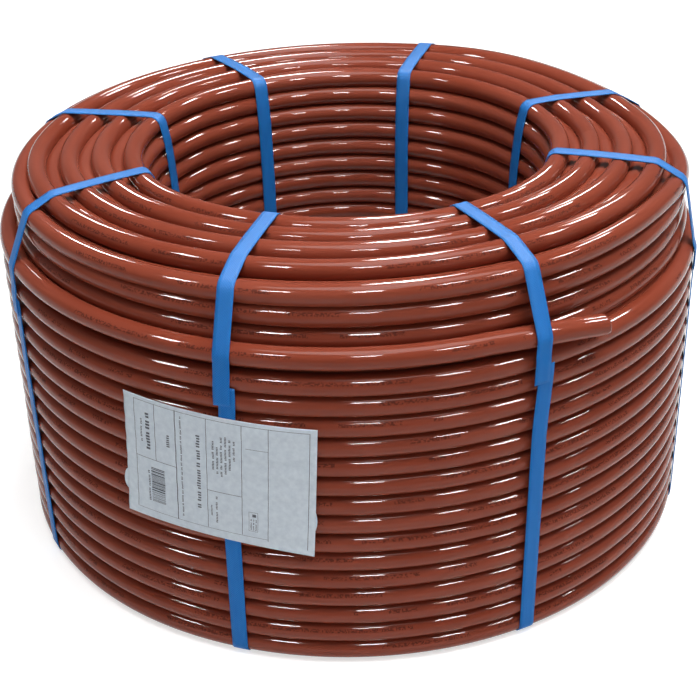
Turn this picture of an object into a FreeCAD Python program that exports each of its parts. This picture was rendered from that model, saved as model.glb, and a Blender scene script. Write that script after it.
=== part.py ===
"""A strapped coil of smooth heating pipe, lying flat, with a label on its wall.

Millimetres, +Z up along the coil's axis, origin on the axis at floor level.
Azimuths are in degrees about +Z from +X; -90 is the coil's front.

The pipe is one piece: a turned ring whose section is scalloped by the turns
that show on its wall, its ends and its bore, with the pipe's free end fused
on as a short arc of tube, open at its mouth. Eight flat straps go round the
ring's section, and a paper label lies over one of them.
"""
import FreeCAD, Part
import os
from math import asin, atan2, cos, degrees, hypot, pi, radians, sin, sqrt

# --- driving dimensions -------------------------------------------------
PIPE_OD = 16.0
PIPE_WALL = 1.5
BORE_DIAMETER = 310.9          # clear between the innermost turns
BORE_TURNS = 19                # turns that show down the bore
TURNS_LEFT_OFF = 3             # the outermost layer has this many turns fewer
TOP_TRACKS = 5                 # turns that stand high on the top face
TOP_DROP = 3.9                 # the top face falls this much from bore to rim
TURN_GAP = 0.03                # air between neighbouring turns
LAST_TURN_RISE = 3.5           # the outermost layer's top turn stands this much clear
TRACK_NEST = 42.5              # degrees: a high turn above the low turn beside it
LAYER_NEST = 29.0              # degrees: outermost layer over the one beneath
VALLEY_ANGLE = 65.0            # degrees of each turn that show beside its crest

STRAP_WIDTH = 12.0
STRAP_THICK = 0.7
STRAP_CLEAR = 0.2              # between a strap and the turns it passes
STRAP_AZIMUTHS = (-109.0, -62.3, -14.3, 23.0, 72.0, 118.2, 161.0, 204.0)
TAIL_STRAP = 1                 # the strap that also holds the free end

TAIL_END_AZIMUTH = -51.5       # the mouth of the free end
TAIL_ROOT_AZIMUTH = -82.0      # where the free end leaves the ring
TAIL_RISE = 13.0               # the mouth stands this far outside the last turn
TAIL_SINK = 3.0                # and its root is buried this deep in the ring
TAIL_DROP = 3.0                # the free end lies this far below the top turn
MOUTH_DEPTH = 60.0             # open bore modelled behind the mouth

LABEL_LENGTH = 148.0
LABEL_HEIGHT = 105.0
LABEL_THICK = 0.3
LABEL_CLEAR = 0.1              # between the label and the strap it covers
LABEL_AZIMUTH = -110.5
LABEL_MIDDLE_Z = 154.0
LABEL_TILT = 3.4               # degrees, right-hand side low

# --- worked-out places --------------------------------------------------
PIPE_R = PIPE_OD / 2
PITCH = PIPE_OD + TURN_GAP
LIFT = STRAP_THICK + STRAP_CLEAR
BASE_Z = LIFT + PIPE_R
TRACK_STEP = PITCH * cos(radians(TRACK_NEST))
TRACK_SINK = PITCH * sin(radians(TRACK_NEST))
BORE_R = BORE_DIAMETER / 2 + PIPE_R
UNDER_R = BORE_R + 2 * (TOP_TRACKS - 1) * TRACK_STEP
OUTER_R = UNDER_R + PITCH * cos(radians(LAYER_NEST))
BORE_TOP_Z = BASE_Z + (BORE_TURNS - 1) * PITCH
UNDER_TOP_Z = BORE_TOP_Z - TOP_DROP
OUTER_TURNS = BORE_TURNS - TURNS_LEFT_OFF
OUTER_TOP_Z = BASE_Z + (OUTER_TURNS - 1) * PITCH + LAST_TURN_RISE
NEST_RISE = PITCH * sin(radians(LAYER_NEST))
UNDER_TURNS = 1 + int((UNDER_TOP_Z - OUTER_TOP_Z - NEST_RISE) / PITCH)
TAIL_Z = OUTER_TOP_Z - TAIL_DROP


def turn_centres():
    """Section centres (radius, height) of every turn that shows, anticlockwise."""
    wall = [(OUTER_R, BASE_Z + k * PITCH) for k in range(OUTER_TURNS - 1)]
    wall.append((OUTER_R, OUTER_TOP_Z))
    under = [(UNDER_R, UNDER_TOP_Z - k * PITCH) for k in range(UNDER_TURNS)]
    top = []
    steps = 2 * (TOP_TRACKS - 1)
    for k in range(1, steps):
        crest = UNDER_TOP_Z + TOP_DROP * k / steps
        top.append((UNDER_R - k * TRACK_STEP, crest - TRACK_SINK * (k % 2)))
    bore = [(BORE_R, BORE_TOP_Z - k * PITCH) for k in range(BORE_TURNS)]
    width = OUTER_R - BORE_R
    floor_steps = 2 * round(width / (2 * PITCH * cos(radians(30))))
    floor_step = width / floor_steps
    floor_lift = sqrt(max(PITCH ** 2 - floor_step ** 2, 0.0))
    floor = [(BORE_R + k * floor_step, BASE_Z + floor_lift * (k % 2))
             for k in range(1, floor_steps)]
    return wall + under[::-1] + top + bore + floor


def on_section(centre, radius, angle):
    """The point at an angle on a circle of the section, in the XZ plane."""
    return FreeCAD.Vector(centre[0] + radius * cos(angle), 0,
                          centre[1] + radius * sin(angle))


def arc_or_none(centre, radius, start, end):
    """An arc from angle start to end, anticlockwise, or None if it is nil."""
    if abs(end - start) < 1e-6:
        return None
    middle = (start + end) / 2
    ends = [on_section(centre, radius, a) for a in (start, middle, end)]
    return Part.Arc(*ends).toShape()


def loop_edges(centres, radius, reach):
    """Arcs about the centres, joined by straight runs, anticlockwise.

    Each arc ends `reach` radians past the outward normals of its two links:
    0 gives a taut band round the circles, more gives a scalloped wall.
    """
    count = len(centres)
    normals = []
    for k in range(count):
        here, there = centres[k], centres[(k + 1) % count]
        normals.append(atan2(here[0] - there[0], there[1] - here[1]))
    edges = []
    for k in range(count):
        before, after = normals[k - 1], normals[k]
        turn = (after - before + pi) % (2 * pi) - pi
        start, end = before - reach, before + turn + reach
        edges.append(arc_or_none(centres[k], radius, start, end))
        next_centre = centres[(k + 1) % count]
        from_point = on_section(centres[k], radius, after + reach)
        to_point = on_section(next_centre, radius, after - reach)
        edges.append(Part.LineSegment(from_point, to_point).toShape())
    return [edge for edge in edges if edge]


def section_face(centres, radius, reach=0.0):
    """A face in the XZ plane bounded by such a loop."""
    wire = Part.Wire(loop_edges(centres, radius, reach))
    return Part.Face(wire)


def about_axis(shape, azimuth):
    """The shape turned about the coil's axis."""
    turned = shape.copy()
    turned.rotate(FreeCAD.Vector(0, 0, 0), FreeCAD.Vector(0, 0, 1), azimuth)
    return turned


class TailPath:
    """The free end's centre line: a flat arc that opens out of the ring."""

    def __init__(self):
        root = self.plan_point(OUTER_R - TAIL_SINK, TAIL_ROOT_AZIMUTH)
        mouth = self.plan_point(OUTER_R + TAIL_RISE, TAIL_END_AZIMUTH)
        middle_azimuth = (TAIL_ROOT_AZIMUTH + TAIL_END_AZIMUTH) / 2
        middle_r = OUTER_R + (TAIL_RISE - TAIL_SINK) / 2 - TAIL_RISE / 6
        middle = self.plan_point(middle_r, middle_azimuth)
        circle = Part.Arc(root, middle, mouth).toShape().Curve
        self.centre = circle.Center
        self.radius = circle.Radius
        self.start = self.angle_of(root)
        self.end = self.angle_of(mouth)

    @staticmethod
    def plan_point(radius, azimuth):
        """A point at the free end's height."""
        return FreeCAD.Vector(radius * cos(radians(azimuth)),
                              radius * sin(radians(azimuth)), TAIL_Z)

    def angle_of(self, point):
        """The direction from the arc's centre to a point, in degrees."""
        away = point - self.centre
        return degrees(atan2(away.y, away.x))

    def tube(self, radius, start, end):
        """A solid rod along the arc between two of its angles."""
        up = FreeCAD.Vector(0, 0, 1)
        spot = self.centre + FreeCAD.Vector(self.radius, 0, 0)
        disc = Part.Face(Part.Wire(Part.Circle(
            spot, FreeCAD.Vector(0, 1, 0), radius).toShape()))
        disc.rotate(self.centre, up, start)
        return disc.revolve(self.centre, up, end - start)

    def reach_at(self, azimuth):
        """How far out the centre line lies at an azimuth about the coil's axis."""
        direction = FreeCAD.Vector(cos(radians(azimuth)), sin(radians(azimuth)), 0)
        flat = FreeCAD.Vector(self.centre.x, self.centre.y, 0)
        along = flat.dot(direction)
        return along + sqrt(along ** 2 - flat.Length ** 2 + self.radius ** 2)


def pipe_coil(tail):
    """The ring of turns with its free end and open mouth."""
    section = section_face(turn_centres(), PIPE_R, radians(VALLEY_ANGLE))
    ring = section.revolve(FreeCAD.Vector(0, 0, 0), FreeCAD.Vector(0, 0, 1), 360)
    free_end = tail.tube(PIPE_R, tail.start, tail.end)
    depth_angle = degrees(MOUTH_DEPTH / tail.radius)
    hollow = tail.tube(PIPE_R - PIPE_WALL, tail.end - depth_angle, tail.end + 1)
    return ring.fuse(free_end).cut(hollow)


def strap(azimuth, tail=None):
    """A flat closed band round the ring's section, and round the free end too."""
    bore_sag = BORE_DIAMETER / 2 - sqrt((BORE_DIAMETER / 2) ** 2 - (STRAP_WIDTH / 2) ** 2)
    corners = [(OUTER_R, BASE_Z), (OUTER_R, OUTER_TOP_Z), (UNDER_R, UNDER_TOP_Z),
               (BORE_R - bore_sag, BORE_TOP_Z), (BORE_R - bore_sag, BASE_Z)]
    if tail:
        half_span = degrees(asin(STRAP_WIDTH / 2 / OUTER_R))
        corners[1] = (tail.reach_at(azimuth + half_span), TAIL_Z)
    inside = section_face(corners, PIPE_R + STRAP_CLEAR)
    outside = section_face(corners, PIPE_R + STRAP_CLEAR + STRAP_THICK)
    band = outside.cut(inside).extrude(FreeCAD.Vector(0, STRAP_WIDTH, 0))
    band.translate(FreeCAD.Vector(0, -STRAP_WIDTH / 2, 0))
    return about_axis(band, azimuth)


def label():
    """A sheet of paper bent round the wall, outside the strap it covers."""
    strap_outside = OUTER_R + PIPE_R + STRAP_CLEAR + STRAP_THICK
    inner_r = hypot(strap_outside, STRAP_WIDTH / 2) + LABEL_CLEAR
    outer_r = inner_r + LABEL_THICK
    up = FreeCAD.Vector(0, 0, 1)
    foot = FreeCAD.Vector(0, 0, LABEL_MIDDLE_Z - LABEL_HEIGHT)
    shell = Part.makeCylinder(outer_r, 2 * LABEL_HEIGHT, foot, up).cut(
        Part.makeCylinder(inner_r, 2 * LABEL_HEIGHT, foot, up))
    chord = 2 * outer_r * sin(LABEL_LENGTH / (2 * outer_r))
    near = inner_r / 2
    sheet = Part.makeBox(inner_r, chord, LABEL_HEIGHT,
                         FreeCAD.Vector(near, -chord / 2, LABEL_MIDDLE_Z - LABEL_HEIGHT / 2))
    sheet.rotate(FreeCAD.Vector(0, 0, LABEL_MIDDLE_Z), FreeCAD.Vector(1, 0, 0), -LABEL_TILT)
    return about_axis(shell.common(sheet), LABEL_AZIMUTH)


def write(name, shape):
    """One node to its STEP file, with its size in print."""
    box = shape.BoundBox
    print(f"{name}: {len(shape.Solids)} solid, valid {shape.isValid()}, "
          f"volume {shape.Volume / 1000:.1f} cm3, "
          f"x {box.XMin:.1f} {box.XMax:.1f}, y {box.YMin:.1f} {box.YMax:.1f}, "
          f"z {box.ZMin:.2f} {box.ZMax:.2f}")
    shape.exportStep(f"parts/{name}.step")


def main():
    os.makedirs("parts", exist_ok=True)
    tail = TailPath()
    print(f"turn radii: bore {BORE_R:.2f}, under {UNDER_R:.2f}, outer {OUTER_R:.2f}")
    print(f"tail arc radius {tail.radius:.1f}, "
          f"reach at the strap {tail.reach_at(STRAP_AZIMUTHS[TAIL_STRAP]):.1f}")
    write("pipe_coil", pipe_coil(tail))
    for k, azimuth in enumerate(STRAP_AZIMUTHS):
        held = tail if k == TAIL_STRAP else None
        write(f"strap_{k + 1:02d}", strap(azimuth, held))
    write("label", label())


main()
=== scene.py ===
# %% [markdown]
# # A strapped coil of heating pipe
# The real thing is one very long plastic pipe, wound in nested layers, held by
# eight flat straps and marked with a paper label. This lesson rebuilds its looks
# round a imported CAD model, which gives the true size and place of every part.
# Everything is in metres, +Z is up along the coil's axis and -Y is the front.

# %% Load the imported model
import random
from math import atan2, cos, degrees, hypot, pi, radians, sin, sqrt, tau

import bmesh
import bpy
from mathutils import Matrix, Vector


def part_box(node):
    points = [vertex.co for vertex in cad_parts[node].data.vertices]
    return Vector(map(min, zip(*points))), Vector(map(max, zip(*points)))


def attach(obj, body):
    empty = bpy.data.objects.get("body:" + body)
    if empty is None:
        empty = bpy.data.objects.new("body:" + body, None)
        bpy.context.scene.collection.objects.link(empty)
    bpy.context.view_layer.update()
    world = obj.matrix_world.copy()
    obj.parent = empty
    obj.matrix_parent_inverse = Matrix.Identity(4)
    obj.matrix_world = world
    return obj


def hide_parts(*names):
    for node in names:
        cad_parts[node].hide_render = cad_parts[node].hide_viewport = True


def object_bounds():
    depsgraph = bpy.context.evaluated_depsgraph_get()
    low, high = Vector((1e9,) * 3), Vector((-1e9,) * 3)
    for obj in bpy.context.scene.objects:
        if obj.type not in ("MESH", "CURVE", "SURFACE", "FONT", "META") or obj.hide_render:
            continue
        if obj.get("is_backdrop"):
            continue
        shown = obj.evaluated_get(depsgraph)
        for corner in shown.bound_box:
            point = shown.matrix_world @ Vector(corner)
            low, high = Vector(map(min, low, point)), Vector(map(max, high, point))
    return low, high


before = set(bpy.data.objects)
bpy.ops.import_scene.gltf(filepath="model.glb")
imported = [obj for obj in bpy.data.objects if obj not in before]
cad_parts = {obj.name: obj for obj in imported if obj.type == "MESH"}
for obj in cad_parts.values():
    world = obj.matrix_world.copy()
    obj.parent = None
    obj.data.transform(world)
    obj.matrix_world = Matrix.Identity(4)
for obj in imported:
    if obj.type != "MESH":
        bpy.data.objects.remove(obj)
cad_low, cad_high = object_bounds()
coil_low, coil_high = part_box("pipe_coil")
print("CAD box", tuple(cad_low), tuple(cad_high))

# %% [markdown]
# ## The sizes of the winding
# The pipe is 16 mm outside and 13 mm inside. The coil's own box says where its
# outermost, topmost and lowest turns lie, so the other radii and heights follow
# from it. The top face falls a few millimetres from the bore to the rim, and the
# last turn stands a little clear of the turn below it.

# %% Sizes of the pipe and of the winding
PIPE_R = 0.008
PIPE_BORE_R = 0.0065
PITCH = 0.01603
OUTER_TURNS = 16
BORE_TURNS = 19
BORE_R = 0.16345
CROWN_FALL = 0.0039
LAST_TURN_RISE = 0.0035
OUTER_R = coil_high.x - PIPE_R
BASE_Z = coil_low.z + PIPE_R
BORE_TOP_Z = coil_high.z - PIPE_R
UNDER_R = BORE_R + 8 * PITCH * cos(radians(42.5))
UNDER_TOP_Z = BORE_TOP_Z - CROWN_FALL
LAST_TURN_Z = BASE_Z + (OUTER_TURNS - 1) * PITCH + LAST_TURN_RISE
print("turn radii", round(BORE_R, 4), round(UNDER_R, 4), round(OUTER_R, 4))

# %% [markdown]
# ## The camera and the light
# The camera stands in front and looks down about 29 degrees. The glossy pipe
# carries rows of short glints, one row for each small lamp in a ring round it.
# Those lamps are seen in the gloss only, so they can be bright without washing
# the colour out. Three more stand behind the coil and light the gloss of its top
# face. The even light comes from the world and a big lamp overhead.

# %% The camera
CAMERA_PLACE = Vector((0.00318, -1.09827, 0.72118))
CAMERA_YAW, CAMERA_DIP, CAMERA_ROLL = radians(0.236), radians(29.187), radians(1.449)

scene = bpy.context.scene
camera_data = bpy.data.cameras.new("camera")
camera_data.sensor_width = 36.0
camera_data.lens = 74.47
camera = bpy.data.objects.new("camera", camera_data)
scene.collection.objects.link(camera)
turn_to_view = (Matrix.Rotation(CAMERA_YAW, 4, "Z")
                @ Matrix.Rotation(pi / 2 - CAMERA_DIP, 4, "X")
                @ Matrix.Rotation(-CAMERA_ROLL, 4, "Z"))
camera.matrix_world = Matrix.Translation(CAMERA_PLACE) @ turn_to_view
scene.camera = camera
scene.view_settings.view_transform = "Standard"
print("camera at", tuple(CAMERA_PLACE))

# %% Lamps
LAMP_AIM = Vector((0, 0, 0.15))
GLINT_AZIMUTHS = (-157, -117, -85, -55, -33, 0, 42)


def area_lamp(name, azimuth, rise, distance, width, height, power, gloss_only=False):
    """A flat lamp in the sky, turned towards the coil."""
    data = bpy.data.lights.new(name, "AREA")
    data.shape = "RECTANGLE"
    data.size = width
    data.size_y = height
    data.energy = power
    lamp = bpy.data.objects.new(name, data)
    scene.collection.objects.link(lamp)
    away = Vector((cos(rise) * cos(azimuth), cos(rise) * sin(azimuth), sin(rise)))
    lamp.matrix_world = (Matrix.Translation(LAMP_AIM + away * distance)
                         @ away.to_track_quat("Z", "Y").to_matrix().to_4x4())
    lamp.visible_diffuse = not gloss_only


for number, azimuth in enumerate(GLINT_AZIMUTHS):
    area_lamp(f"glint_lamp_{number + 1}", radians(azimuth), radians(46),
              distance=2.6, width=0.32, height=0.31, power=38.0, gloss_only=True)
area_lamp("crown_lamp", radians(83), radians(52),
          distance=2.75, width=0.28, height=0.90, power=85.0, gloss_only=True)
area_lamp("left_lamp", radians(115), radians(35),
          distance=2.7, width=0.25, height=0.35, power=22.0, gloss_only=True)
area_lamp("right_lamp", radians(65), radians(35),
          distance=2.7, width=0.25, height=0.35, power=15.0, gloss_only=True)
area_lamp("soft_lamp", radians(-48), radians(79),
          distance=2.6, width=1.8, height=1.8, power=84.0)
print("lamps", len(bpy.data.lights))


# %% [markdown]
# ## Finishes
# Each finish is built from a few nodes. `Paint` is a small helper that adds
# nodes and links them, so that a finish reads as a list of what it is made of.

# %% A helper for finishes
class Paint:
    """A material under construction."""

    def __init__(self, name, roughness, colour=(0.8, 0.8, 0.8), gloss=0.5):
        self.material = bpy.data.materials.new(name)
        self.material.use_nodes = True
        self.tree = self.material.node_tree
        self.shader = self.tree.nodes["Principled BSDF"]
        self.shader.inputs["Roughness"].default_value = roughness
        self.shader.inputs["Base Color"].default_value = (*colour, 1)
        self.shader.inputs["Specular IOR Level"].default_value = gloss

    def node(self, kind, **inputs):
        """Adds a node and feeds its input sockets."""
        made = self.tree.nodes.new("ShaderNode" + kind)
        for key, value in inputs.items():
            self.feed(value, made.inputs[key.replace("_", " ")])
        return made

    def feed(self, value, socket):
        """Links a socket or sets a plain value."""
        if isinstance(value, bpy.types.NodeSocket):
            self.tree.links.new(value, socket)
        else:
            socket.default_value = value

    def math(self, operation, first, second=0.0):
        """One sum, with two inputs."""
        made = self.tree.nodes.new("ShaderNodeMath")
        made.operation = operation
        self.feed(first, made.inputs[0])
        self.feed(second, made.inputs[1])
        return made.outputs[0]

    def place(self, x, y, z=0.0):
        """A point from three numbers or sockets."""
        return self.node("CombineXYZ", X=x, Y=y, Z=z).outputs[0]

    def noise(self, point, detail=2.0):
        """Smooth noise at a point, one unit to a blob."""
        return self.node("TexNoise", Vector=point, Scale=1.0, Detail=detail).outputs["Fac"]

    def specks(self, point):
        """A different plain number for each unit cell."""
        cell = self.tree.nodes.new("ShaderNodeVectorMath")
        cell.operation = "FLOOR"
        self.feed(point, cell.inputs[0])
        return self.node("TexWhiteNoise", Vector=cell.outputs[0]).outputs["Value"]

    def spread(self, value, low, high):
        """Stretches low..high to 0..1, and stops there."""
        made = self.tree.nodes.new("ShaderNodeMapRange")
        self.feed(value, made.inputs["Value"])
        made.inputs["From Min"].default_value = low
        made.inputs["From Max"].default_value = high
        return made.outputs["Result"]

    def between(self, value, low, high):
        """1 where the value is between two numbers, otherwise 0."""
        above = self.math("GREATER_THAN", value, low)
        below = self.math("LESS_THAN", value, high)
        return self.math("MULTIPLY", above, below)

    def blend(self, factor, first, second):
        """A colour between two."""
        made = self.tree.nodes.new("ShaderNodeMix")
        made.data_type = "RGBA"
        self.feed(factor, made.inputs["Factor"])
        for value, socket in ((first, made.inputs[6]), (second, made.inputs[7])):
            self.feed(value if isinstance(value, bpy.types.NodeSocket) else (*value, 1), socket)
        return made.outputs[2]

    def bump(self, height, depth):
        """A bump of that depth in metres."""
        made = self.tree.nodes.new("ShaderNodeBump")
        made.inputs["Strength"].default_value = 1.0
        made.inputs["Distance"].default_value = depth
        self.feed(height, made.inputs["Height"])
        return made.outputs["Normal"]


# %% [markdown]
# ## The world and the floor
# The world is plain white and dim, and fills the shadows a little. The floor is
# a wide pale sheet. It keeps the coil's shadow, and it glows for the camera and
# in reflections only, so it looks white without lighting the coil.

# %% The world
WHITE = (1, 1, 1, 1)
WORLD_LIGHT = 0.22

world = bpy.data.worlds.new("studio")
scene.world = world
world.use_nodes = True
backdrop = world.node_tree.nodes["Background"]
backdrop.inputs["Color"].default_value = WHITE
backdrop.inputs["Strength"].default_value = WORLD_LIGHT
print("world light", WORLD_LIGHT)

# %% The floor
FLOOR_HALF = 6.0
FLOOR_COLOUR = (0.62, 0.62, 0.62)
FLOOR_GLOW = 0.62

floor_paint = Paint("floor_paint", 0.7, FLOOR_COLOUR)
rays = floor_paint.node("LightPath").outputs
seen = floor_paint.math("MAXIMUM", rays["Is Camera Ray"], rays["Is Glossy Ray"])
seen = floor_paint.math("MAXIMUM", seen, rays["Is Transmission Ray"])
floor_paint.shader.inputs["Emission Color"].default_value = WHITE
floor_paint.feed(floor_paint.math("MULTIPLY", seen, FLOOR_GLOW),
                 floor_paint.shader.inputs["Emission Strength"])

floor_mesh = bpy.data.meshes.new("floor")
bm = bmesh.new()
bmesh.ops.create_grid(bm, x_segments=1, y_segments=1, size=FLOOR_HALF)
bm.to_mesh(floor_mesh)
bm.free()
floor_mesh.materials.append(floor_paint.material)
floor = bpy.data.objects.new("floor", floor_mesh)
scene.collection.objects.link(floor)
floor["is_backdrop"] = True
print("floor", FLOOR_HALF * 2, "m wide")

# %% [markdown]
# ### The pipe's finish
# The pipe is extruded, so its faint draw lines run along it, and it carries a
# row of small dot-printed marks. Both follow the pipe, so they read the pipe's
# own UV map: U is metres along the pipe and V goes once round it. The marks are
# random dots in a row, in groups like words, so they say nothing.

# %% The pipe's finish
PIPE_COLOUR = (0.248, 0.047, 0.023)
PIPE_PALE = (0.298, 0.067, 0.038)
PRINT_COLOUR = (0.045, 0.014, 0.012)
PRINT_ROW = (0.062, 0.116)
DOT_SIZE = 0.00085
WORD_LENGTH = 0.021
MARK_LENGTH = 0.26
MARKED_SHARE = 0.62
WORD_GAPS = 0.32
DOT_GAPS = 0.52
INK_STRENGTH = 0.6
PATCHES = (7.0, 3.0)
DRAW_LINES = (0.8, 30.0)
LINE_DEPTH = 0.00006


def pipe_paint():
    """Glossy red-brown plastic with draw lines and a printed row."""
    paint = Paint("pipe_plastic", 0.06, gloss=0.14)
    split = paint.node("SeparateXYZ", Vector=paint.node("UVMap").outputs["UV"])
    along, around = split.outputs["X"], split.outputs["Y"]

    patches = paint.noise(paint.place(paint.math("MULTIPLY", along, PATCHES[0]),
                                      paint.math("MULTIPLY", around, PATCHES[1])), 3.0)
    tone = paint.blend(paint.spread(patches, 0.3, 0.7), PIPE_COLOUR, PIPE_PALE)

    dots = paint.specks(paint.place(paint.math("DIVIDE", along, DOT_SIZE),
                                    paint.math("DIVIDE", around, DOT_SIZE / (tau * PIPE_R))))
    words = paint.specks(paint.place(paint.math("DIVIDE", along, WORD_LENGTH), 3.0))
    share = paint.math("FRACT", paint.math("DIVIDE", along, MARK_LENGTH))
    marks = paint.math("LESS_THAN", share, MARKED_SHARE)
    ink = paint.math("MULTIPLY", paint.between(around, *PRINT_ROW), marks)
    ink = paint.math("MULTIPLY", ink, paint.math("GREATER_THAN", words, WORD_GAPS))
    ink = paint.math("MULTIPLY", ink, paint.math("GREATER_THAN", dots, DOT_GAPS))
    paint.feed(paint.blend(paint.math("MULTIPLY", ink, INK_STRENGTH), tone, PRINT_COLOUR),
               paint.shader.inputs["Base Color"])

    lines = paint.noise(paint.place(paint.math("MULTIPLY", along, DRAW_LINES[0]),
                                    paint.math("MULTIPLY", around, DRAW_LINES[1])), 1.0)
    paint.feed(paint.bump(lines, LINE_DEPTH), paint.shader.inputs["Normal"])
    return paint.material


PIPE_PAINT = pipe_paint()
print("a printed mark every", MARK_LENGTH, "m")

# %% [markdown]
# ### The strap's and the label's finishes
# The strap is polypropylene tape, rolled with a fine diamond grid that catches
# the light; the grid's ridges are also painted paler in its colour, a painted
# sheen. Its UV map has U along it and V across it, both in metres. The paper
# is faintly mottled and its ink is a shade uneven, as thermal print is.

# %% The strap's finish
STRAP_COLOUR = (0.002, 0.150, 0.540)
# The paler blue is reached by random wear and by the painted sheen on the grid's ridges.
STRAP_PALE_WEAR_AND_SHEEN = (0.022, 0.228, 0.640)
GRID_STEP = 0.0019
GRID_DEPTH = 0.00012
WEAR = (45.0, 260.0)


def strap_paint():
    """Blue tape with a rolled diamond grid whose ridges carry a painted sheen, and random wear."""
    paint = Paint("strap_plastic", 0.45, gloss=0.14)
    split = paint.node("SeparateXYZ", Vector=paint.node("UVMap").outputs["UV"])
    along, across = split.outputs["X"], split.outputs["Y"]
    ridges = []
    for way in ("ADD", "SUBTRACT"):
        slant = paint.math(way, along, across)
        ridges.append(paint.math("SINE", paint.math("MULTIPLY", slant, tau / GRID_STEP)))
    grid = paint.spread(paint.math("MAXIMUM", *ridges), -0.4, 1.0)
    wear = paint.noise(paint.place(paint.math("MULTIPLY", along, WEAR[0]),
                                   paint.math("MULTIPLY", across, WEAR[1])), 3.0)
    # Painted sheen: the grid's ridges make the blue paler; the wear noise adds real random wear.
    tone = paint.math("ADD", paint.math("MULTIPLY", grid, 0.45), paint.math("MULTIPLY", wear, 0.5))
    paint.feed(paint.blend(paint.spread(tone, 0.25, 0.85), STRAP_COLOUR, STRAP_PALE_WEAR_AND_SHEEN),
               paint.shader.inputs["Base Color"])
    paint.feed(paint.bump(grid, GRID_DEPTH), paint.shader.inputs["Normal"])
    return paint.material


STRAP_PAINT = strap_paint()
print("grid step", GRID_STEP, "m")

# %% The paper's and the ink's finishes
MOTTLE_DEPTH = 0.00003


def mottled_paint(name, roughness, dark, pale, scale):
    """A dry finish between two close shades."""
    paint = Paint(name, roughness, gloss=0.3)
    spot = paint.node("TexCoord").outputs["Object"]
    fine = paint.node("TexNoise", Vector=spot, Scale=scale, Detail=4.0).outputs["Fac"]
    paint.feed(paint.blend(paint.spread(fine, 0.3, 0.7), dark, pale),
               paint.shader.inputs["Base Color"])
    paint.feed(paint.bump(fine, MOTTLE_DEPTH), paint.shader.inputs["Normal"])
    return paint.material


PAPER_PAINT = mottled_paint("label_paper", 0.55, dark=(0.64, 0.72, 0.80),
                            pale=(0.74, 0.82, 0.89), scale=260.0)
INK_PAINT = mottled_paint("label_ink", 0.6, dark=(0.045, 0.05, 0.065),
                          pale=(0.16, 0.175, 0.21), scale=900.0)
print("finishes", len(bpy.data.materials))

# %% [markdown]
# ## Winding a pipe
# A turn starts as a copy of one straight tube and is then wound: its place along
# the tube becomes an angle about the coil's axis, and a `course` says how far
# out and how high the pipe's middle lies at that angle. The UV map is laid once
# on the straight tube, where it is simple, and every copy brings it along.

# %% A straight tube to copy
SIDES = 18
STEPS = 240


def straight_tube(radius, sides=SIDES, steps=STEPS):
    """A mesh tube along +X from 0 to 1, open at both ends, with its UV map."""
    bm = bmesh.new()
    ring = bmesh.ops.create_circle(bm, segments=sides, radius=radius,
                                   matrix=Matrix.Rotation(pi / 2, 4, "Y"))["verts"]
    bmesh.ops.spin(bm, geom=ring + bm.edges[:], axis=(0, 0, 1), cent=(0, 0, 0), angle=0.0,
                   dvec=(1.0 / steps, 0, 0), steps=steps, use_duplicate=False)
    layer = bm.loops.layers.uv.new("UVMap")
    for face in bm.faces:
        middle = face.calc_center_median()
        facing = atan2(middle.z, middle.y)
        for loop in face.loops:
            place = loop.vert.co
            angle = atan2(place.z, place.y)
            angle += tau * round((facing - angle) / tau)
            loop[layer].uv = (place.x, angle / tau)
    mesh = bpy.data.meshes.new("straight_tube")
    bm.to_mesh(mesh)
    bm.free()
    return mesh


PLAIN_TUBE = straight_tube(PIPE_R)
print("tube faces", len(PLAIN_TUBE.polygons))

# %% Winding it
WOUND = []


def wind(bm, course, start=0.0, end=tau, tube=PLAIN_TUBE, printed=0.0):
    """Adds one wound length of pipe; a full turn ends where it starts."""
    old_verts, old_faces = len(bm.verts), len(bm.faces)
    bm.from_mesh(tube)
    bm.verts.ensure_lookup_table()
    bm.faces.ensure_lookup_table()
    verts = bm.verts[old_verts:]
    layer = bm.loops.layers.uv.verify()
    length = (end - start) * course(start)[0]
    for face in bm.faces[old_faces:]:
        for loop in face.loops:
            loop[layer].uv.x = printed + loop[layer].uv.x * length
    spots = {}
    for vert in verts:
        share = round(vert.co.x, 6)
        if share not in spots:
            spots[share] = (start + share * (end - start), *course(start + share * (end - start)))
        azimuth, out, up = spots[share]
        reach, rise = out + vert.co.y, up + vert.co.z
        vert.co = (reach * cos(azimuth), reach * sin(azimuth), rise)
    WOUND.append((course, start, end))


def close_up(bm):
    """Joins each full turn to its own start, and turns every face outwards."""
    bmesh.ops.remove_doubles(bm, verts=bm.verts[:], dist=1e-7)
    bmesh.ops.recalc_face_normals(bm, faces=bm.faces[:])


def finish_piece(name, bm, material, slot, *replaced):
    """Turns a bmesh into a smooth piece that rides on the coil's body."""
    mesh = bpy.data.meshes.new(name)
    bm.to_mesh(mesh)
    bm.free()
    mesh.materials.append(material)
    for face in mesh.polygons:
        face.use_smooth = True
    piece = bpy.data.objects.new(name, mesh)
    scene.collection.objects.link(piece)
    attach(piece, "root")
    if replaced:
        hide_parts(*replaced)
    print(name, "faces", len(mesh.polygons))
    return piece


# %% [markdown]
# ## Courses
# A machine winds the turns side by side, but none is a perfect ring. Each turn
# drifts a little, and where the real turns bulge or dip over a long way, a few
# values round the coil say so, with a smooth closed curve through them.

# %% Helpers for courses
DRIFT_OUT, DRIFT_UP = 0.0005, 0.00018
MM = 0.001


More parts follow.
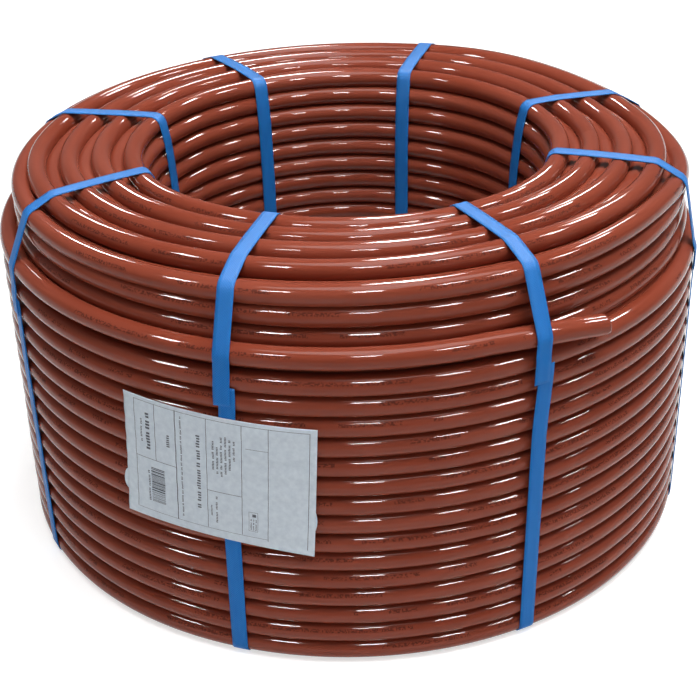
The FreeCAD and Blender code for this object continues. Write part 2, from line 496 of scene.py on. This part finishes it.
def wander(seed, reach, rise):
    """A smooth closed drift about a ring: (out, up) at an azimuth."""
    rng = random.Random(seed)
    waves = [(n, rng.uniform(0, tau), rng.uniform(0, tau)) for n in (2, 3, 5, 8)]

    def drift(azimuth):
        out = sum(cos(n * azimuth + a) / n for n, a, _ in waves)
        up = sum(cos(n * azimuth + b) / n for n, _, b in waves)
        return reach * out, rise * up
    return drift


def ring_course(radius, height, seed, reach=DRIFT_OUT):
    """A ring's course with its own small drift."""
    drift = wander(seed, reach, DRIFT_UP)

    def course(azimuth):
        out, up = drift(azimuth)
        return radius + out, height + up
    return course


def round_curve(values):
    """A smooth closed curve through evenly spaced values, from azimuth 0, in mm."""
    count = len(values)

    def at(azimuth):
        place = (azimuth / tau % 1.0) * count
        k, t = int(place), place % 1.0
        a, b, c, d = (values[(k + j) % count] for j in (-1, 0, 1, 2))
        return MM / 2 * (2 * b + (c - a) * t + (2 * a - 5 * b + 4 * c - d) * t * t
                         + (3 * b - a - 3 * c + d) * t ** 3)
    return at


print("drift", DRIFT_OUT, DRIFT_UP)

# %% [markdown]
# ## The top face
# Five turns stand high on the top face, and four more lie low between them. Two
# tables in millimetres set the high ones, every 30 degrees round the coil: how
# far out each runs, and how much it stands above or below its own level. A low
# turn rests between two high ones, so it sinks where they part and rises where
# they close up, as the real one must. A third table lifts it a little more.

# %% The high turns, from the rim inwards
HIGH_RADII = (
    (266, 266, 268, 264, 264, 262, 259.5, 257, 257, 257, 258, 257),
    (247, 247, 254, 252, 250, 249.5, 248, 239, 233, 231, 234, 240),
    (221, 221.5, 229, 228, 226, 224, 222.5, 214, 206, 204, 208, 214),
    (195.5, 196.5, 203, 202, 200, 198, 197, 190, 182, 180, 183, 189),
    (171, 173, 174, 171, 170, 171, 171, 169, 163.7, 163, 165, 168.5))
HIGH_RISES = (
    (-13, -9, -3, -3.5, -4, -5, -5.5, -5, -2.5, -1, 0, -2),
    (0, 0, 0, 0, 0, 0, 0, 1, 2.5, 3, 4.5, 2.5),
    (0, 0, 0, 0, 0, 0, 0, 0.6, 1.2, 2, 2.5, 1.4),
    (0, 0, 0, 0, 0, 0, 0, 0, 0, 0, 0.5, 0),
    (-1, -1.5, -1.5, -2, -1.5, -0.5, -0.5, -0.5, -0.3, 0, -1, -1.5))


def high_course(k):
    """The course of high turn k, counted inwards from the rim."""
    reach, rise = round_curve(HIGH_RADII[k]), round_curve(HIGH_RISES[k])
    crest = UNDER_TOP_Z + CROWN_FALL * k / 4

    def course(azimuth):
        return reach(azimuth), crest + rise(azimuth)
    return course


high = [high_course(k) for k in range(5)]
bm = bmesh.new()
for k, course in enumerate(high):
    wind(bm, course, printed=k * 0.37)
close_up(bm)
finish_piece("high_turns", bm, PIPE_PAINT, "pipe")

# %% The low turns between them
LOW_LIFTS = (2, 1, 0, 0, 0, 1, 2.2, 2, 1, 1, 1.2, 2)
LEAST_SINK = 0.001


def nested_course(outer, inner):
    """The course of a turn that rests under and between two others."""
    lift = round_curve(LOW_LIFTS)

    def course(azimuth):
        (r1, z1), (r2, z2) = outer(azimuth), inner(azimuth)
        apart = hypot(r1 - r2, z1 - z2)
        sink = sqrt(max(PITCH ** 2 - apart ** 2 / 4, 0.0)) - lift(azimuth)
        return ((r1 + r2) / 2 + sink * (z1 - z2) / apart * 0.5,
                (z1 + z2) / 2 - max(sink, LEAST_SINK))
    return course


bm = bmesh.new()
for k in range(4):
    wind(bm, nested_course(high[k], high[k + 1]), printed=k * 0.53)
close_up(bm)
finish_piece("low_turns", bm, PIPE_PAINT, "pipe")

# %% [markdown]
# ## The outside wall
# Fifteen turns stack up on the wall. Above them the pipe's last turn stands a
# little clear, and past it the layer beneath shows. That layer bulges at the
# right, where it fills the room that the tucked-in last turn leaves.

# %% The outermost layer
WALL_DRIFT = 0.0003

bm = bmesh.new()
for k in range(OUTER_TURNS - 1):
    wind(bm, ring_course(OUTER_R, BASE_Z + k * PITCH, 100 + k, WALL_DRIFT), printed=k * 1.7)
close_up(bm)
finish_piece("outer_turns", bm, PIPE_PAINT, "pipe", "pipe_coil")

# %% The layer beneath, bare above the outermost one
BULGE = 0.010
BULGE_AZIMUTH = radians(22)
BULGE_POWER = 6


def under_course(k):
    """The k-th turn down of the layer beneath, which bulges at one side."""
    ring = ring_course(UNDER_R, UNDER_TOP_Z - k * PITCH, 200 + k)

    def course(azimuth):
        out, up = ring(azimuth)
        return out + BULGE * max(cos(azimuth - BULGE_AZIMUTH), 0.0) ** BULGE_POWER, up
    return course


bm = bmesh.new()
for k in range(1, 4):
    wind(bm, under_course(k), printed=k * 2.3)
close_up(bm)
finish_piece("under_turns", bm, PIPE_PAINT, "pipe")

# %% [markdown]
# ## The last turn and its free end
# The last turn starts tucked into the layer beneath, near its own free end. It
# comes out and climbs as it goes round, and leaves the wall under a strap. The
# free end is cut square and is open, so it has an inner wall, and a flat ring
# joins the two walls at the mouth.

# %% The last turn
LAST_TURN_START, TAIL_START = radians(-60), radians(-70)
TUCK_IN, TUCK_DOWN = 0.012, 0.0028
TUCK_FROM, TUCK_TO = radians(-38), radians(30)
CLIMB_FROM, CLIMB_TO = radians(-10), radians(130)


def smooth_step(value, low, high):
    """0 below low, 1 above high and an even curve between them."""
    share = min(max((value - low) / (high - low), 0.0), 1.0)
    return share * share * (3 - 2 * share)


def last_course(azimuth):
    """The last turn, as far as its free end."""
    tuck = 1 - smooth_step(azimuth, TUCK_FROM, TUCK_TO)
    rise = smooth_step(azimuth, CLIMB_FROM, CLIMB_TO)
    return (OUTER_R - TUCK_IN * tuck,
            LAST_TURN_Z - LAST_TURN_RISE * (1 - rise) - TUCK_DOWN * tuck)


bm = bmesh.new()
wind(bm, last_course, LAST_TURN_START, TAIL_START + tau)
close_up(bm)
finish_piece("last_turn", bm, PIPE_PAINT, "pipe")

# %% The free end
TAIL_END = radians(-52.3)
TAIL_OUT, TAIL_OUT_POWER = 0.0120, 1.3
TAIL_DROP, TAIL_DROP_POWER = 0.0040, 2.8
MOUTH_DEPTH = radians(12)
MOUTH_SIDES = 24
RIM_SLACK = 1e-5
FACE_SLACK = 0.02


def tail_course(azimuth):
    """The free end, which leaves the wall and droops a little."""
    share = max((azimuth - TAIL_START) / (TAIL_END - TAIL_START), 0.0)
    return (OUTER_R + TAIL_OUT * share ** TAIL_OUT_POWER,
            LAST_TURN_Z - TAIL_DROP * share ** TAIL_DROP_POWER)


def rim_edges(bm, first, azimuth):
    """The edges of an open ring at an azimuth, among the newest ones."""
    bm.edges.ensure_lookup_table()
    found = []
    for edge in bm.edges[first:]:
        if all(abs(atan2(v.co.y, v.co.x) - azimuth) < RIM_SLACK for v in edge.verts):
            found.append(edge)
    return found


bm = bmesh.new()
wind(bm, tail_course, TAIL_START, TAIL_END,
     tube=straight_tube(PIPE_R, MOUTH_SIDES, steps=60), printed=0.4)
outer_rim = rim_edges(bm, 0, TAIL_END)
first = len(bm.edges)
wind(bm, tail_course, TAIL_END - MOUTH_DEPTH, TAIL_END,
     tube=straight_tube(PIPE_BORE_R, MOUTH_SIDES, steps=16))
inner_rim = rim_edges(bm, first, TAIL_END)
inner_end = rim_edges(bm, first, TAIL_END - MOUTH_DEPTH)
bmesh.ops.bridge_loops(bm, edges=outer_rim + inner_rim)
bmesh.ops.contextual_create(bm, geom=inner_end)
close_up(bm)
free_end = finish_piece("free_end", bm, PIPE_PAINT, "pipe")
for face in free_end.data.polygons:
    if abs(degrees(atan2(face.center.y, face.center.x)) - degrees(TAIL_END)) < FACE_SLACK:
        face.use_smooth = False
print("mouth edges", len(outer_rim), len(inner_rim), len(inner_end))

# %% [markdown]
# ## The bore and the underside
# Nineteen turns line the bore. The top one is the innermost high turn, and the
# ones under it lean out with it for a few turns. The underside is as plain as
# the winding machine's table leaves it.

# %% The bore
TOP_REACH = round_curve(HIGH_RADII[4])
TOP_RISE = round_curve(HIGH_RISES[4])
FOLLOW = 0.62


def bore_course(k):
    """Turn k below the top one; it follows the top one less and less."""
    drift = wander(400 + k, DRIFT_OUT, DRIFT_UP)
    share = FOLLOW ** k

    def course(azimuth):
        out, up = drift(azimuth)
        lean = (TOP_REACH(azimuth) - BORE_R) * share
        return (BORE_R + lean + out,
                BORE_TOP_Z - k * PITCH + TOP_RISE(azimuth) * share * 0.5 + up)
    return course


bm = bmesh.new()
for k in range(1, BORE_TURNS):
    wind(bm, bore_course(k), printed=k * 1.3)
close_up(bm)
finish_piece("bore_turns", bm, PIPE_PAINT, "pipe")

# %% The underside
FLOOR_TRACKS = 8
floor_step = (OUTER_R - BORE_R) / FLOOR_TRACKS
floor_lift = sqrt(PITCH ** 2 - floor_step ** 2)
bm = bmesh.new()
for k in range(1, FLOOR_TRACKS):
    wind(bm, ring_course(BORE_R + k * floor_step, BASE_Z + floor_lift * (k % 2), 500 + k))
close_up(bm)
finish_piece("bottom_turns", bm, PIPE_PAINT, "pipe")

# %% [markdown]
# ## The hidden turns
# Turns that nobody can see are left out. One closed ring of the pipe's own finish
# fills their room, so that no light or view passes between the turns that show.
# It is spun from a six-cornered section that keeps clear of their outer sides.

# %% The hidden winding
bm = bmesh.new()
corners = [(BORE_R + 0.002, BASE_Z),
           (OUTER_R - 0.002, BASE_Z),
           (OUTER_R - 0.002, LAST_TURN_Z - PITCH),
           (UNDER_R - 0.002, LAST_TURN_Z),
           (UNDER_R - 0.006, UNDER_TOP_Z - 0.016),
           (BORE_R + 0.008, BORE_TOP_Z - 0.020)]
verts = [bm.verts.new((r, 0, z)) for r, z in corners]
edges = [bm.edges.new((verts[k - 1], verts[k])) for k in range(len(verts))]
bmesh.ops.spin(bm, geom=verts + edges, axis=(0, 0, 1), cent=(0, 0, 0), angle=tau,
               steps=96, use_merge=True)
close_up(bm)
finish_piece("hidden_turns", bm, PIPE_PAINT, "pipe")

# %% [markdown]
# ## The straps
# A strap is pulled tight, so in the section that it goes round it takes the
# shortest way about the turns: a straight run wherever it leaves one turn for
# the next. That is the convex outline of the turns' circles, which code can
# find for each strap. The tape is a long grid laid along that outline, with a
# thickness from Solidify, and its two ends overlap on the wall at the weld.

# %% The taut outline
STRAP_WIDTH = 0.012
STRAP_THICK = 0.0007
STRAP_CLEAR = 0.00015
HULL_SIDES = 40


def turns_at(azimuth):
    """The middles of all wound turns in the section at an azimuth."""
    found = []
    for course, start, end in WOUND:
        turned = start + (azimuth - start) % tau
        if turned <= end + 1e-9:
            found.append(course(turned))
    return found


def taut_outline(middles, clearance):
    """The convex outline of circles round the middles, anticlockwise."""
    reach = PIPE_R + clearance
    points = sorted((r + reach * cos(tau * k / HULL_SIDES), z + reach * sin(tau * k / HULL_SIDES))
                    for r, z in middles for k in range(HULL_SIDES))

    def half(sweep):
        chain = []
        for x, y in sweep:
            while len(chain) > 1 and ((chain[-1][0] - chain[-2][0]) * (y - chain[-2][1])
                                      <= (chain[-1][1] - chain[-2][1]) * (x - chain[-2][0])):
                chain.pop()
            chain.append((x, y))
        return chain[:-1]
    return half(points) + half(reversed(points))


print("turns in a section", len(turns_at(0.5)))

# %% [markdown]
# The outline is cut open where the weld is, and the tape is laid along it in even
# steps. It goes once round and then on for the length of the overlap.

# %% Laying the tape along the outline
PAST_END = 7


def cut_at(outline, height):
    """The outline as an open chain that starts on the wall at a height."""
    count = len(outline)
    for k in range(count):
        (r1, z1), (r2, z2) = outline[k], outline[(k + 1) % count]
        if z1 < height <= z2 and r1 > UNDER_R:
            start = (r1 + (r2 - r1) * (height - z1) / (z2 - z1), height)
            return [start] + [outline[(k + 1 + j) % count] for j in range(count)] + [start]
    raise ValueError("no wall at that height")


def walk(chain, extra, step):
    """Evenly spaced (place, out, up, facing) along a chain, and on past its end."""
    chain = chain + chain[1:PAST_END + 1]
    runs = [hypot(b[0] - a[0], b[1] - a[1]) for a, b in zip(chain, chain[1:])]
    total = sum(runs[:-PAST_END]) + extra
    count = round(total / step)
    spots, k, used = [], 0, 0.0
    for j in range(count + 1):
        place = total * j / count
        while place - used > runs[k]:
            used += runs[k]
            k += 1
        a, b = chain[k], chain[k + 1]
        share = (place - used) / runs[k]
        spots.append((place, a[0] + (b[0] - a[0]) * share, a[1] + (b[1] - a[1]) * share,
                      atan2(a[0] - b[0], b[1] - a[1])))
    return spots


def face_outwards(bm, whole=False):
    """Turns a sheet's faces away from the axis, each one or the whole as its first."""
    bm.normal_update()
    bm.faces.ensure_lookup_table()
    inward = [face for face in bm.faces if face.normal.xy.dot(face.calc_center_median().xy) < 0]
    if whole:
        inward = bm.faces[:] if bm.faces[0] in inward else []
    bmesh.ops.reverse_faces(bm, faces=inward)


print("outline corners", len(taut_outline(turns_at(0.5), STRAP_CLEAR)))

# %% [markdown]
# A strap isn't quite upright: it may lean across the top face or down the wall.
# Each has three azimuths: in the bore, at the rim, and at the foot of the wall.
# Near the weld its two ends sway a little apart, so the overlap can be seen.

# %% How each strap leans
STRAP_LEANS = {
    "strap_01": (-109.8, -107.8, -108.1),
    "strap_02": (-60.2, -62.8, -63.1),
    "strap_03": (-14.6, -16.2, -16.0),
    "strap_04": (24.2, 22.4, 22.4),
    "strap_05": (71.4, 72.7, 72.7),
    "strap_06": (117.8, 118.7, 118.7),
    "strap_07": (160.3, 161.7, 161.7),
    "strap_08": (202.0, 206.0, 208.5)}
LEAN_FROM_R, LEAN_RUN, LEAN_HEIGHT = 0.158, 0.107, 0.25


def strap_azimuth(lean, out, up):
    """Where a leaning strap lies at a point of its section."""
    bore, rim, foot = (radians(angle) for angle in lean)
    across = min(max((out - LEAN_FROM_R) / LEAN_RUN, 0.0), 1.0)
    height = min(max(up / LEAN_HEIGHT, 0.0), 1.0)
    return bore + (foot + (rim - foot) * height - bore) * across


print("straps", len(STRAP_LEANS))

# %% The eight straps
WELD_Z, WELD_SPREAD = 0.2185, 0.003
OVERLAP = 0.014
STRAP_STEP = 0.0025
START_SWAY, START_RUN = 0.0011, 0.04
END_SWAY, END_RUN = 0.0026, 0.06


def make_strap(name, lean, seed):
    """One strap, from its weld up over the top, round, and up under its own end."""
    rng = random.Random(seed)
    weld = WELD_Z + rng.uniform(-WELD_SPREAD, WELD_SPREAD)
    middles = [spot for angle in (-1.0, 0.0, 1.0)
               for spot in turns_at(radians(lean[1] + angle))]
    spots = walk(cut_at(taut_outline(middles, STRAP_CLEAR), weld), OVERLAP, STRAP_STEP)
    rows = len(spots) - 1
    length = spots[-1][0]
    bm = bmesh.new()
    bmesh.ops.create_grid(bm, x_segments=rows, y_segments=4, size=0.5, calc_uvs=True)
    layer = bm.loops.layers.uv.verify()
    for face in bm.faces:
        for loop in face.loops:
            loop[layer].uv = ((loop.vert.co.x + 0.5) * length, loop.vert.co.y * STRAP_WIDTH)
    for vert in bm.verts:
        place, out, up, facing = spots[round((vert.co.x + 0.5) * rows)]
        over = 1 - smooth_step(place, OVERLAP + 0.001, OVERLAP + 0.009)
        lift = (STRAP_THICK + 0.0001) * over
        sway = (END_SWAY * smooth_step(place, length - END_RUN, length)
                - START_SWAY * (1 - smooth_step(place, 0.0, START_RUN)))
        sideways = vert.co.y * STRAP_WIDTH + sway
        azimuth = strap_azimuth(lean, out, up)
        reach, rise = out + lift * cos(facing), up + lift * sin(facing)
        vert.co = (reach * cos(azimuth) - sideways * sin(azimuth),
                   reach * sin(azimuth) + sideways * cos(azimuth), rise)
    face_outwards(bm, whole=True)
    piece = finish_piece(name + "_tape", bm, STRAP_PAINT, "strap", name)
    wall = piece.modifiers.new("thickness", "SOLIDIFY")
    wall.thickness = STRAP_THICK
    wall.offset = 1.0
    print(name, "is", round(length, 3), "m of tape")


for seed, (name, lean) in enumerate(STRAP_LEANS.items()):
    make_strap(name, lean, 700 + seed)

# %% [markdown]
# ## The label
# The label is about an A6 sheet, stuck over the turns and over one strap. It hugs
# the crests, so it is nearly a piece of a cylinder, and its lower corners have
# lifted a little. It is a fine grid that one function bends round the wall.

# %% The sheet
LABEL_LENGTH, LABEL_HEIGHT = 0.1455, 0.1015
LABEL_AZIMUTH = radians(-110.0)
LABEL_Z = 0.1565
LABEL_TILT = radians(2.8)
LABEL_R = OUTER_R + PIPE_R + 0.0017
LEFT_PEEL, RIGHT_PEEL = 0.0022, 0.0048
RIPPLE = 0.0002
PAPER_THICK = 0.0002


def on_label(u, v, lift=0.0):
    """A point of the label, u to the right and v up from its middle."""
    along = u * cos(LABEL_TILT) + v * sin(LABEL_TILT)
    rise = v * cos(LABEL_TILT) - u * sin(LABEL_TILT)
    low = max(-v / LABEL_HEIGHT + 0.5, 0.0)
    side = abs(u) / (LABEL_LENGTH / 2)
    peel = (LEFT_PEEL if u < 0 else RIGHT_PEEL) * low ** 3 * side ** 2.2
    ripple = RIPPLE * sin(tau * (rise + LABEL_Z) / PITCH)
    azimuth = LABEL_AZIMUTH + along / LABEL_R
    reach = LABEL_R + peel + ripple + lift
    return reach * cos(azimuth), reach * sin(azimuth), LABEL_Z + rise


bm = bmesh.new()
bmesh.ops.create_grid(bm, x_segments=60, y_segments=72, size=0.5, calc_uvs=True)
for vert in bm.verts:
    vert.co = on_label(vert.co.x * LABEL_LENGTH, vert.co.y * LABEL_HEIGHT)
face_outwards(bm)
label_sheet = finish_piece("label_sheet", bm, PAPER_PAINT, "label", "label")
paper = label_sheet.modifiers.new("thickness", "SOLIDIFY")
paper.thickness = PAPER_THICK
paper.offset = -1.0

# %% [markdown]
# ### The print
# The print is thin ink patches that are bent with the same function and lie just
# above the paper: ruled boxes, bars, and rows of dashes that stand for words
# without saying anything. Their places are in millimetres from the sheet's lower
# left corner, as on a layout sheet.

# %% Helpers for the print
INK_LIFT = 0.00006
INK_WIDE, INK_HIGH = 3, 2


def ink_patch(bm, left, low, right, high):
    """A rectangle of ink, in mm from the sheet's lower left corner."""
    first = len(bm.verts)
    across = max(1, round((right - left) / INK_WIDE))
    upward = max(1, round((high - low) / INK_HIGH))
    bmesh.ops.create_grid(bm, x_segments=across, y_segments=upward, size=0.5)
    bm.verts.ensure_lookup_table()
    for vert in bm.verts[first:]:
        u = (left + (right - left) * (vert.co.x + 0.5)) / 1000 - LABEL_LENGTH / 2
        v = (low + (high - low) * (vert.co.y + 0.5)) / 1000 - LABEL_HEIGHT / 2
        vert.co = on_label(u, v, INK_LIFT)


def ruled(bm, left, low, right, high, width=0.4):
    """A ruled line between two points in line with the sheet."""
    half = width / 2
    ink_patch(bm, left - half, low - half, right + half, high + half)


def greeked(bm, rng, left, low, right, high, letter=1.1, gap=0.5, heavy=1.0):
    """A row of dashes up the sheet that stands for a line of words."""
    v = low
    while v < high:
        word = rng.randint(2, 8)
        for _ in range(word):
            if v + letter > high:
                return
            inset = rng.uniform(0.0, 0.25) * (right - left)
            ink_patch(bm, left + inset, v, right, v + letter * 0.6 * heavy)
            v += letter
        v += gap + letter * 0.6


print("label", LABEL_LENGTH, "by", LABEL_HEIGHT, "m")

# %% The ruled boxes and the bars
RULED_LINES = (
    (9, 7, 9, 98), (26.2, 51.5, 26.2, 98), (43, 7, 43, 98, 0.7), (67, 7.5, 67, 98),
    (93, 7.5, 93, 98), (112, 5.5, 112, 98), (140.5, 4, 140.5, 98), (9, 98, 140.5, 98, 0.3),
    (9, 6.8, 112, 6.8, 0.25), (9, 51, 43, 51), (67, 39.5, 93, 39.5), (96, 80, 112, 80, 0.25))

rng = random.Random(31)
bm = bmesh.new()
for line in RULED_LINES:
    ruled(bm, *line)
v = 15.0
while v < 44:
    bar = rng.choice((0.35, 0.35, 0.7, 1.1))
    ink_patch(bm, 21.5, v, 32.8, v + bar)
    v += bar + rng.choice((0.4, 0.4, 0.8))
print("ink so far", len(bm.faces), "faces")

# %% The rows of dashes
HEADING_ROWS = (
    (18.6, 15, 20.2, 44, 1.4), (18.0, 59, 21.6, 91, 2.5, 0.3, 1.15), (13.6, 64, 15.2, 84, 1.3),
    (35.4, 66, 38.0, 82, 1.8, 2.5), (46.6, 11, 47.9, 95, 1.0, 0.4), (59.0, 22, 62.0, 86, 2.1, 0.6))
TEXT_ENDS = ((70, 86), (62, 86), (58, 88), (55, 86), (57, 80), (60, 82))
FOOT_ROWS = ((73.2, 13, 74.6, 36, 1.3, 1.4), (69.4, 18, 70.6, 30, 1.2))
SMALL_BOX = (
    (98, 12, 98, 28, 0.25), (104.5, 12, 104.5, 28, 0.25), (98, 12, 104.5, 12, 0.25),
    (98, 28, 104.5, 28, 0.25))

for row in HEADING_ROWS:
    greeked(bm, rng, *row)
for k, (low, high) in enumerate(TEXT_ENDS):
    greeked(bm, rng, 86.6 - k * 3.1, low - 2, 88.2 - k * 3.1, high, 1.2, 0.9)
for row in FOOT_ROWS:
    greeked(bm, rng, *row)
for line in SMALL_BOX:
    ruled(bm, *line)
ink_patch(bm, 100.5, 24, 103.2, 26.5)
for k in range(3):
    greeked(bm, rng, 99.0 + k * 1.8, 13, 100.0 + k * 1.8, 23, 0.9)
face_outwards(bm)
finish_piece("label_print", bm, INK_PAINT, "label")

# %% [markdown]
# The sheet came off a backing strip, and two round tabs of it still stick out at
# the sides, under the sheet.

# %% The backing tabs
TABS = ((-0.0715, -0.0245, 0.0068), (0.0665, -0.0235, 0.0100))
TAB_WIDE, TAB_HIGH = 0.75, 1.35
TAB_LIFT = -0.0005

bm = bmesh.new()
for u, v, radius in TABS:
    first = len(bm.verts)
    bmesh.ops.create_circle(bm, segments=24, radius=radius, cap_ends=True)
    bm.verts.ensure_lookup_table()
    for vert in bm.verts[first:]:
        vert.co = on_label(u + vert.co.x * TAB_WIDE, v + vert.co.y * TAB_HIGH, TAB_LIFT)
face_outwards(bm)
finish_piece("label_tabs", bm, PAPER_PAINT, "label")

# %% Sizes, and the end
low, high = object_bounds()
{"cad": [list(cad_low), list(cad_high)], "visual": [list(low), list(high)]}
print("visual box", tuple(low), tuple(high))
